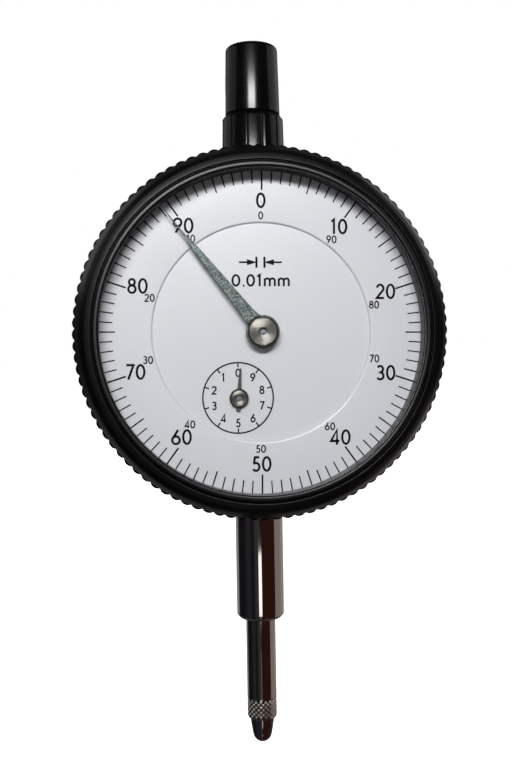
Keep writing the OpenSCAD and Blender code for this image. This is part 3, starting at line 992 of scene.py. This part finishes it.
# floor, light and camera
studio = {"floorDrop": 0.4, "floorSize": 60.0, "floorGlow": 1.1, "sky": 1.0}
floorMesh = bpy.data.meshes.new("floor")
reach = studio["floorSize"] / 2
floorLevel = cadBox[0][2] - studio["floorDrop"] * mm
floorSigns = ((-1, -1), (1, -1), (1, 1), (-1, 1))
floorCorners = [(reach * x, reach * y, floorLevel) for x, y in floorSigns]
floorMesh.from_pydata(floorCorners, [], [(0, 1, 2, 3)])
floor = bpy.data.objects.new("floor", floorMesh)
bpy.context.scene.collection.objects.link(floor)
floorPaint, tree, shader = newMaterial(
    "paleFloor",
    "#ffffff",
    {
        "Roughness": 0.9,
        "Specular IOR Level": 0.0,
        "Emission Color": (1, 1, 1, 1),
        "Emission Strength": studio["floorGlow"],
    },
)
floor.data.materials.append(floorPaint)
# the steel and the black faces see only the room and the lamps
floor.visible_glossy = False
floor.visible_diffuse = False

world = bpy.data.worlds.new("studio")
bpy.context.scene.world = world
world.use_nodes = True
tree = world.node_tree
tree.nodes.clear()
direction = addNode(tree, "ShaderNodeTexCoord").outputs["Generated"]
axes = addNode(tree, "ShaderNodeSeparateXYZ", None, {"Vector": direction})
swingInputs = {0: axes.outputs["X"], 1: axes.outputs["Y"]}
swing = addNode(tree, "ShaderNodeMath", {"operation": "ARCTAN2"}, swingInputs)
share = addNode(
    tree, "ShaderNodeMapRange", {"From Min": -math.pi, "From Max": math.pi}, {"Value": swing.outputs[0]}
)
# round the horizon from the front, by the left, the back and the right, to the front again
walls = addNode(tree, "ShaderNodeValToRGB", None, {"Fac": share.outputs[0]})
stops = [
    (0.0, "#1a1416"),
    (0.02, "#3a3a3a"),
    (0.07, "#3b3a3a"),
    (0.1, "#15161a"),
    (0.17, "#302f36"),
    (0.25, "#17171a"),
    (0.33, "#1c1c1f"),
    (0.4, "#4a4a4b"),
    (0.6, "#4d4a48"),
    (0.75, "#2b2423"),
    (0.83, "#331b19"),
    (0.95, "#341a18"),
    (1.0, "#241513"),
]
bands = walls.color_ramp.elements
bands[0].position, bands[0].color = stops[0][0], colour(stops[0][1])
bands[1].position, bands[1].color = stops[-1][0], colour(stops[-1][1])
for position, shade in stops[1:-1]:
    bands.new(position).color = colour(shade)
paths = addNode(tree, "ShaderNodeLightPath")
white = addNode(tree, "ShaderNodeBackground", {"Color": (1, 1, 1, 1), "Strength": studio["sky"]})
room = addNode(tree, "ShaderNodeBackground", {"Strength": 1.0}, {"Color": walls.outputs[0]})
mixed = addNode(
    tree,
    "ShaderNodeMixShader",
    None,
    {"Fac": paths.outputs["Is Camera Ray"], 1: room.outputs[0], 2: white.outputs[0]},
)
addNode(tree, "ShaderNodeOutputWorld", None, {"Surface": mixed.outputs[0]})


def areaLight(name, spot, target, size, power, tint="#ffffff"):
    lamp = bpy.data.lights.new(name, "AREA")
    lamp.shape = "RECTANGLE"
    lamp.size, lamp.size_y = size
    lamp.energy = power
    lamp.color = colour(tint)[:3]
    holder = bpy.data.objects.new(name, lamp)
    holder.location = spot
    aim = Vector(target) - Vector(spot)
    holder.rotation_euler = aim.to_track_quat("-Z", "Y").to_euler()
    holder.visible_camera = False
    bpy.context.scene.collection.objects.link(holder)
    return holder


# key over the reader's head, soft fills, narrow lamps that draw the line of light down the steel,
# and cards that edge the stem and the cap
centre = (0, 0, height)
stemLevel, capLevel = -0.034, 0.08
areaLight("keyAbove", (-0.036, -0.365, height + 0.132), centre, (0.18, 0.056), 1.33)
areaLight("fillFront", (-0.2, -0.5, 0.2), centre, (0.3, 0.3), 0.08)
areaLight("stemGlint", (-0.014, -0.24, -0.06), (0, 0, -0.06), (0.062, 0.028), 0.0105)
areaLight("spindleGlint", (-0.018, -0.24, -0.106), (0, 0, -0.106), (0.03, 0.035), 0.0004)
areaLight("tipGlint", (-0.01, -0.24, -0.2), (0, 0, -0.2), (0.016, 0.08), 0.005)
areaLight("cardRight", (0.089, 0.0133, stemLevel), (0, 0, stemLevel), (0.09, 0.076), 0.0062, "#f2e6df")
areaLight("cardBack", (0.015, 0.09, stemLevel), (0.015, 0, stemLevel), (0.25, 0.076), 0.0172, "#f5f0ec")
areaLight("capCardLeft", (-0.11, 0.04, 0.112), (0, 0, capLevel), (0.16, 0.08), 0.016)
areaLight("capCardRight", (0.11, 0.03, 0.112), (0, 0, capLevel), (0.16, 0.08), 0.024)
areaLight("fillBack", (0, 0.6, 0.1), centre, (0.3, 0.3), 1.2)

# distance, lift and side in mm from the dial's centre, turns in degrees
view = {
    "distance": 160.0,
    "azimuth": -4.4,
    "lift": -5.0,
    "side": -0.08,
    "roll": -0.96,
    "shift": -0.026,
    "lens": 44.0,
}
camera = bpy.data.cameras.new("camera")
camera.lens = view["lens"]
camera.sensor_width = 36.0
camera.clip_start = 0.005
camera.shift_y = view["shift"]
eye = bpy.data.objects.new("camera", camera)
a = math.radians(view["azimuth"])
eye.location = (
    view["distance"] * math.sin(a) * mm,
    -view["distance"] * math.cos(a) * mm,
    height + view["lift"] * mm,
)
aim = Vector((view["side"] * mm, 0, height + view["lift"] * mm)) - eye.location
look = aim.to_track_quat("-Z", "Y")
eye.rotation_euler = (look.to_matrix() @ Matrix.Rotation(math.radians(view["roll"]), 3, "Z")).to_euler()
bpy.context.scene.collection.objects.link(eye)
bpy.context.scene.camera = eye
bpy.context.scene.view_settings.view_transform = "Standard"
print("studio ready")
